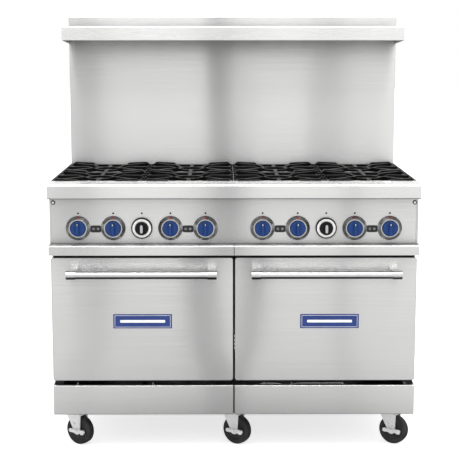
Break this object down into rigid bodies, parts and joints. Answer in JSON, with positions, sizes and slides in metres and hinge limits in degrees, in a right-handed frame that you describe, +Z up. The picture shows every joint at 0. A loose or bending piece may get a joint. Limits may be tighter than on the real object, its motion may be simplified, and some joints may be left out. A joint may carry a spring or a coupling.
{
  "type": "commercial gas range",
  "caption": "Free-standing restaurant gas range with open burners, side-by-side ovens, knob panel, high shelf and casters.",
  "frame": {"origin": "centre of the bounding box's bottom face, on the floor under the casters", "axes": "+Z up, front (knobs, doors) towards -Y, +X to the right seen from the front"},
  "size_m": [1.219, 0.816, 1.46],
  "materials": {
    "stainless": "brushed, horizontal grain",
    "aluminised": "mill finish",
    "polished_stainless": "fine polished",
    "enamel": "porcelain enamel, satin",
    "cast_iron": "rough cast, seasoned",
    "black_pipe": "black steel pipe",
    "tube_alloy": "drawn",
    "brass": "machined",
    "chrome": "bright",
    "zinc": "zinc plated",
    "knob_blue": "moulded, semi-gloss",
    "dial_black": "moulded, printed ring",
    "wheel_rubber": "moulded, matt"
  },
  "bodies": {
    "range_body": {"side_panels": "stainless", "rear_panel": "aluminised", "base_frame": "aluminised", "kick_plates": "stainless", "front_rail": "stainless", "control_panel": "stainless", "cooktop_frame": "stainless", "top_burners": "cast_iron", "pilot_lights": "tube_alloy", "gas_manifold": "black_pipe", "gas_valves": "brass", "knob_bezels": "chrome", "backguard": "stainless", "high_shelf": "stainless", "oven_liners": "enamel", "oven_racks": "chrome", "oven_burners": "cast_iron", "door_hinges": "zinc", "caster_plates": "zinc"},
    "door_left": {"door_skin_left": "stainless", "door_liner_left": "enamel", "door_handle_left": "polished_stainless"},
    "door_right": {"door_skin_right": "stainless", "door_liner_right": "enamel", "door_handle_right": "polished_stainless"},
    "tray_left": {"crumb_tray_left": "stainless"},
    "tray_right": {"crumb_tray_right": "stainless"},
    "knob_1": {"burner_knob_1": "knob_blue"},
    "knob_2": {"burner_knob_2": "knob_blue"},
    "knob_3": {"burner_knob_3": "knob_blue"},
    "knob_4": {"burner_knob_4": "knob_blue"},
    "knob_5": {"burner_knob_5": "knob_blue"},
    "knob_6": {"burner_knob_6": "knob_blue"},
    "knob_7": {"burner_knob_7": "knob_blue"},
    "knob_8": {"burner_knob_8": "knob_blue"},
    "dial_left": {"oven_dial_left": "dial_black"},
    "dial_right": {"oven_dial_right": "dial_black"},
    "fork_1": {"caster_fork_1": "zinc"},
    "wheel_1": {"caster_wheel_1": "wheel_rubber"},
    "lever_1": {"brake_lever_1": "zinc"},
    "fork_2": {"caster_fork_2": "zinc"},
    "wheel_2": {"caster_wheel_2": "wheel_rubber"},
    "lever_2": {"brake_lever_2": "zinc"},
    "fork_3": {"caster_fork_3": "zinc"},
    "wheel_3": {"caster_wheel_3": "wheel_rubber"},
    "lever_3": {"brake_lever_3": "zinc"},
    "fork_4": {"caster_fork_4": "zinc"},
    "wheel_4": {"caster_wheel_4": "wheel_rubber"},
    "fork_5": {"caster_fork_5": "zinc"},
    "wheel_5": {"caster_wheel_5": "wheel_rubber"},
    "fork_6": {"caster_fork_6": "zinc"},
    "wheel_6": {"caster_wheel_6": "wheel_rubber"},
    "lift_grate_1": {"grate_1": "cast_iron"},
    "lift_grate_2": {"grate_2": "cast_iron"},
    "lift_grate_3": {"grate_3": "cast_iron"},
    "lift_grate_4": {"grate_4": "cast_iron"},
    "lift_grate_5": {"grate_5": "cast_iron"},
    "lift_grate_6": {"grate_6": "cast_iron"},
    "lift_grate_7": {"grate_7": "cast_iron"},
    "lift_grate_8": {"grate_8": "cast_iron"}
  },
  "joints": [
    {"name": "door_left_hinge", "type": "hinge", "parent": "range_body", "child": "door_left", "pos_m": [-0.30475, -0.319, 0.25], "axis": [1, 0, 0], "range_deg": [0, 90], "stiffness_Nm_per_rad": 5, "springref_deg": -28.65},
    {"name": "door_right_hinge", "type": "hinge", "parent": "range_body", "child": "door_right", "pos_m": [0.30475, -0.319, 0.25], "axis": [1, 0, 0], "range_deg": [0, 90], "stiffness_Nm_per_rad": 5, "springref_deg": -28.65},
    {"name": "tray_left_slide", "type": "slide", "parent": "range_body", "child": "tray_left", "axis": [0, -1, 0], "range_m": [0, 0.45]},
    {"name": "tray_right_slide", "type": "slide", "parent": "range_body", "child": "tray_right", "axis": [0, -1, 0], "range_m": [0, 0.45]},
    {"name": "knob_1_turn", "type": "hinge", "parent": "range_body", "child": "knob_1", "pos_m": [-0.51513, -0.355, 0.762], "axis": [0, -1, 0], "range_deg": [0, 90]},
    {"name": "knob_2_turn", "type": "hinge", "parent": "range_body", "child": "knob_2", "pos_m": [-0.39913, -0.355, 0.762], "axis": [0, -1, 0], "range_deg": [0, 90]},
    {"name": "knob_3_turn", "type": "hinge", "parent": "range_body", "child": "knob_3", "pos_m": [-0.21038, -0.355, 0.762], "axis": [0, -1, 0], "range_deg": [0, 90]},
    {"name": "knob_4_turn", "type": "hinge", "parent": "range_body", "child": "knob_4", "pos_m": [-0.09438, -0.355, 0.762], "axis": [0, -1, 0], "range_deg": [0, 90]},
    {"name": "knob_5_turn", "type": "hinge", "parent": "range_body", "child": "knob_5", "pos_m": [0.09438, -0.355, 0.762], "axis": [0, -1, 0], "range_deg": [0, 90]},
    {"name": "knob_6_turn", "type": "hinge", "parent": "range_body", "child": "knob_6", "pos_m": [0.21038, -0.355, 0.762], "axis": [0, -1, 0], "range_deg": [0, 90]},
    {"name": "knob_7_turn", "type": "hinge", "parent": "range_body", "child": "knob_7", "pos_m": [0.39913, -0.355, 0.762], "axis": [0, -1, 0], "range_deg": [0, 90]},
    {"name": "knob_8_turn", "type": "hinge", "parent": "range_body", "child": "knob_8", "pos_m": [0.51513, -0.355, 0.762], "axis": [0, -1, 0], "range_deg": [0, 90]},
    {"name": "dial_left_turn", "type": "hinge", "parent": "range_body", "child": "dial_left", "pos_m": [-0.30475, -0.355, 0.762], "axis": [0, -1, 0], "range_deg": [0, 300]},
    {"name": "dial_right_turn", "type": "hinge", "parent": "range_body", "child": "dial_right", "pos_m": [0.30475, -0.355, 0.762], "axis": [0, -1, 0], "range_deg": [0, 300]},
    {"name": "caster_1_swivel", "type": "hinge", "parent": "range_body", "child": "fork_1", "pos_m": [-0.54, -0.262, 0.108], "axis": [0, 0, 1], "continuous": true},
    {"name": "caster_1_roll", "type": "hinge", "parent": "fork_1", "child": "wheel_1", "pos_m": [-0.52813, -0.26942, 0.05], "axis": [0.5299, 0.848, 0], "continuous": true},
    {"name": "brake_1_lever", "type": "hinge", "parent": "fork_1", "child": "lever_1", "pos_m": [-0.52813, -0.26942, 0.05], "axis": [0.5299, 0.848, 0], "range_deg": [0, 20]},
    {"name": "caster_2_swivel", "type": "hinge", "parent": "range_body", "child": "fork_2", "pos_m": [0, -0.262, 0.108], "axis": [0, 0, 1], "continuous": true},
    {"name": "caster_2_roll", "type": "hinge", "parent": "fork_2", "child": "wheel_2", "pos_m": [0.01187, -0.26942, 0.05], "axis": [0.5299, 0.848, 0], "continuous": true},
    {"name": "brake_2_lever", "type": "hinge", "parent": "fork_2", "child": "lever_2", "pos_m": [0.01187, -0.26942, 0.05], "axis": [0.5299, 0.848, 0], "range_deg": [0, 20]},
    {"name": "caster_3_swivel", "type": "hinge", "parent": "range_body", "child": "fork_3", "pos_m": [0.54, -0.262, 0.108], "axis": [0, 0, 1], "continuous": true},
    {"name": "caster_3_roll", "type": "hinge", "parent": "fork_3", "child": "wheel_3", "pos_m": [0.55187, -0.26942, 0.05], "axis": [0.5299, 0.848, 0], "continuous": true},
    {"name": "brake_3_lever", "type": "hinge", "parent": "fork_3", "child": "lever_3", "pos_m": [0.55187, -0.26942, 0.05], "axis": [0.5299, 0.848, 0], "range_deg": [0, 20]},
    {"name": "caster_4_swivel", "type": "hinge", "parent": "range_body", "child": "fork_4", "pos_m": [-0.54, 0.283, 0.108], "axis": [0, 0, 1], "continuous": true},
    {"name": "caster_4_roll", "type": "hinge", "parent": "fork_4", "child": "wheel_4", "pos_m": [-0.52813, 0.27558, 0.05], "axis": [0.5299, 0.848, 0], "continuous": true},
    {"name": "caster_5_swivel", "type": "hinge", "parent": "range_body", "child": "fork_5", "pos_m": [0, 0.283, 0.108], "axis": [0, 0, 1], "continuous": true},
    {"name": "caster_5_roll", "type": "hinge", "parent": "fork_5", "child": "wheel_5", "pos_m": [0.01187, 0.27558, 0.05], "axis": [0.5299, 0.848, 0], "continuous": true},
    {"name": "caster_6_swivel", "type": "hinge", "parent": "range_body", "child": "fork_6", "pos_m": [0.54, 0.283, 0.108], "axis": [0, 0, 1], "continuous": true},
    {"name": "caster_6_roll", "type": "hinge", "parent": "fork_6", "child": "wheel_6", "pos_m": [0.55187, 0.27558, 0.05], "axis": [0.5299, 0.848, 0], "continuous": true},
    {"name": "grate_1_lift", "type": "slide", "parent": "range_body", "child": "lift_grate_1", "axis": [0, 0, 1], "range_m": [0, 0.15]},
    {"name": "grate_2_lift", "type": "slide", "parent": "range_body", "child": "lift_grate_2", "axis": [0, 0, 1], "range_m": [0, 0.15]},
    {"name": "grate_3_lift", "type": "slide", "parent": "range_body", "child": "lift_grate_3", "axis": [0, 0, 1], "range_m": [0, 0.15]},
    {"name": "grate_4_lift", "type": "slide", "parent": "range_body", "child": "lift_grate_4", "axis": [0, 0, 1], "range_m": [0, 0.15]},
    {"name": "grate_5_lift", "type": "slide", "parent": "range_body", "child": "lift_grate_5", "axis": [0, 0, 1], "range_m": [0, 0.15]},
    {"name": "grate_6_lift", "type": "slide", "parent": "range_body", "child": "lift_grate_6", "axis": [0, 0, 1], "range_m": [0, 0.15]},
    {"name": "grate_7_lift", "type": "slide", "parent": "range_body", "child": "lift_grate_7", "axis": [0, 0, 1], "range_m": [0, 0.15]},
    {"name": "grate_8_lift", "type": "slide", "parent": "range_body", "child": "lift_grate_8", "axis": [0, 0, 1], "range_m": [0, 0.15]}
  ]
}
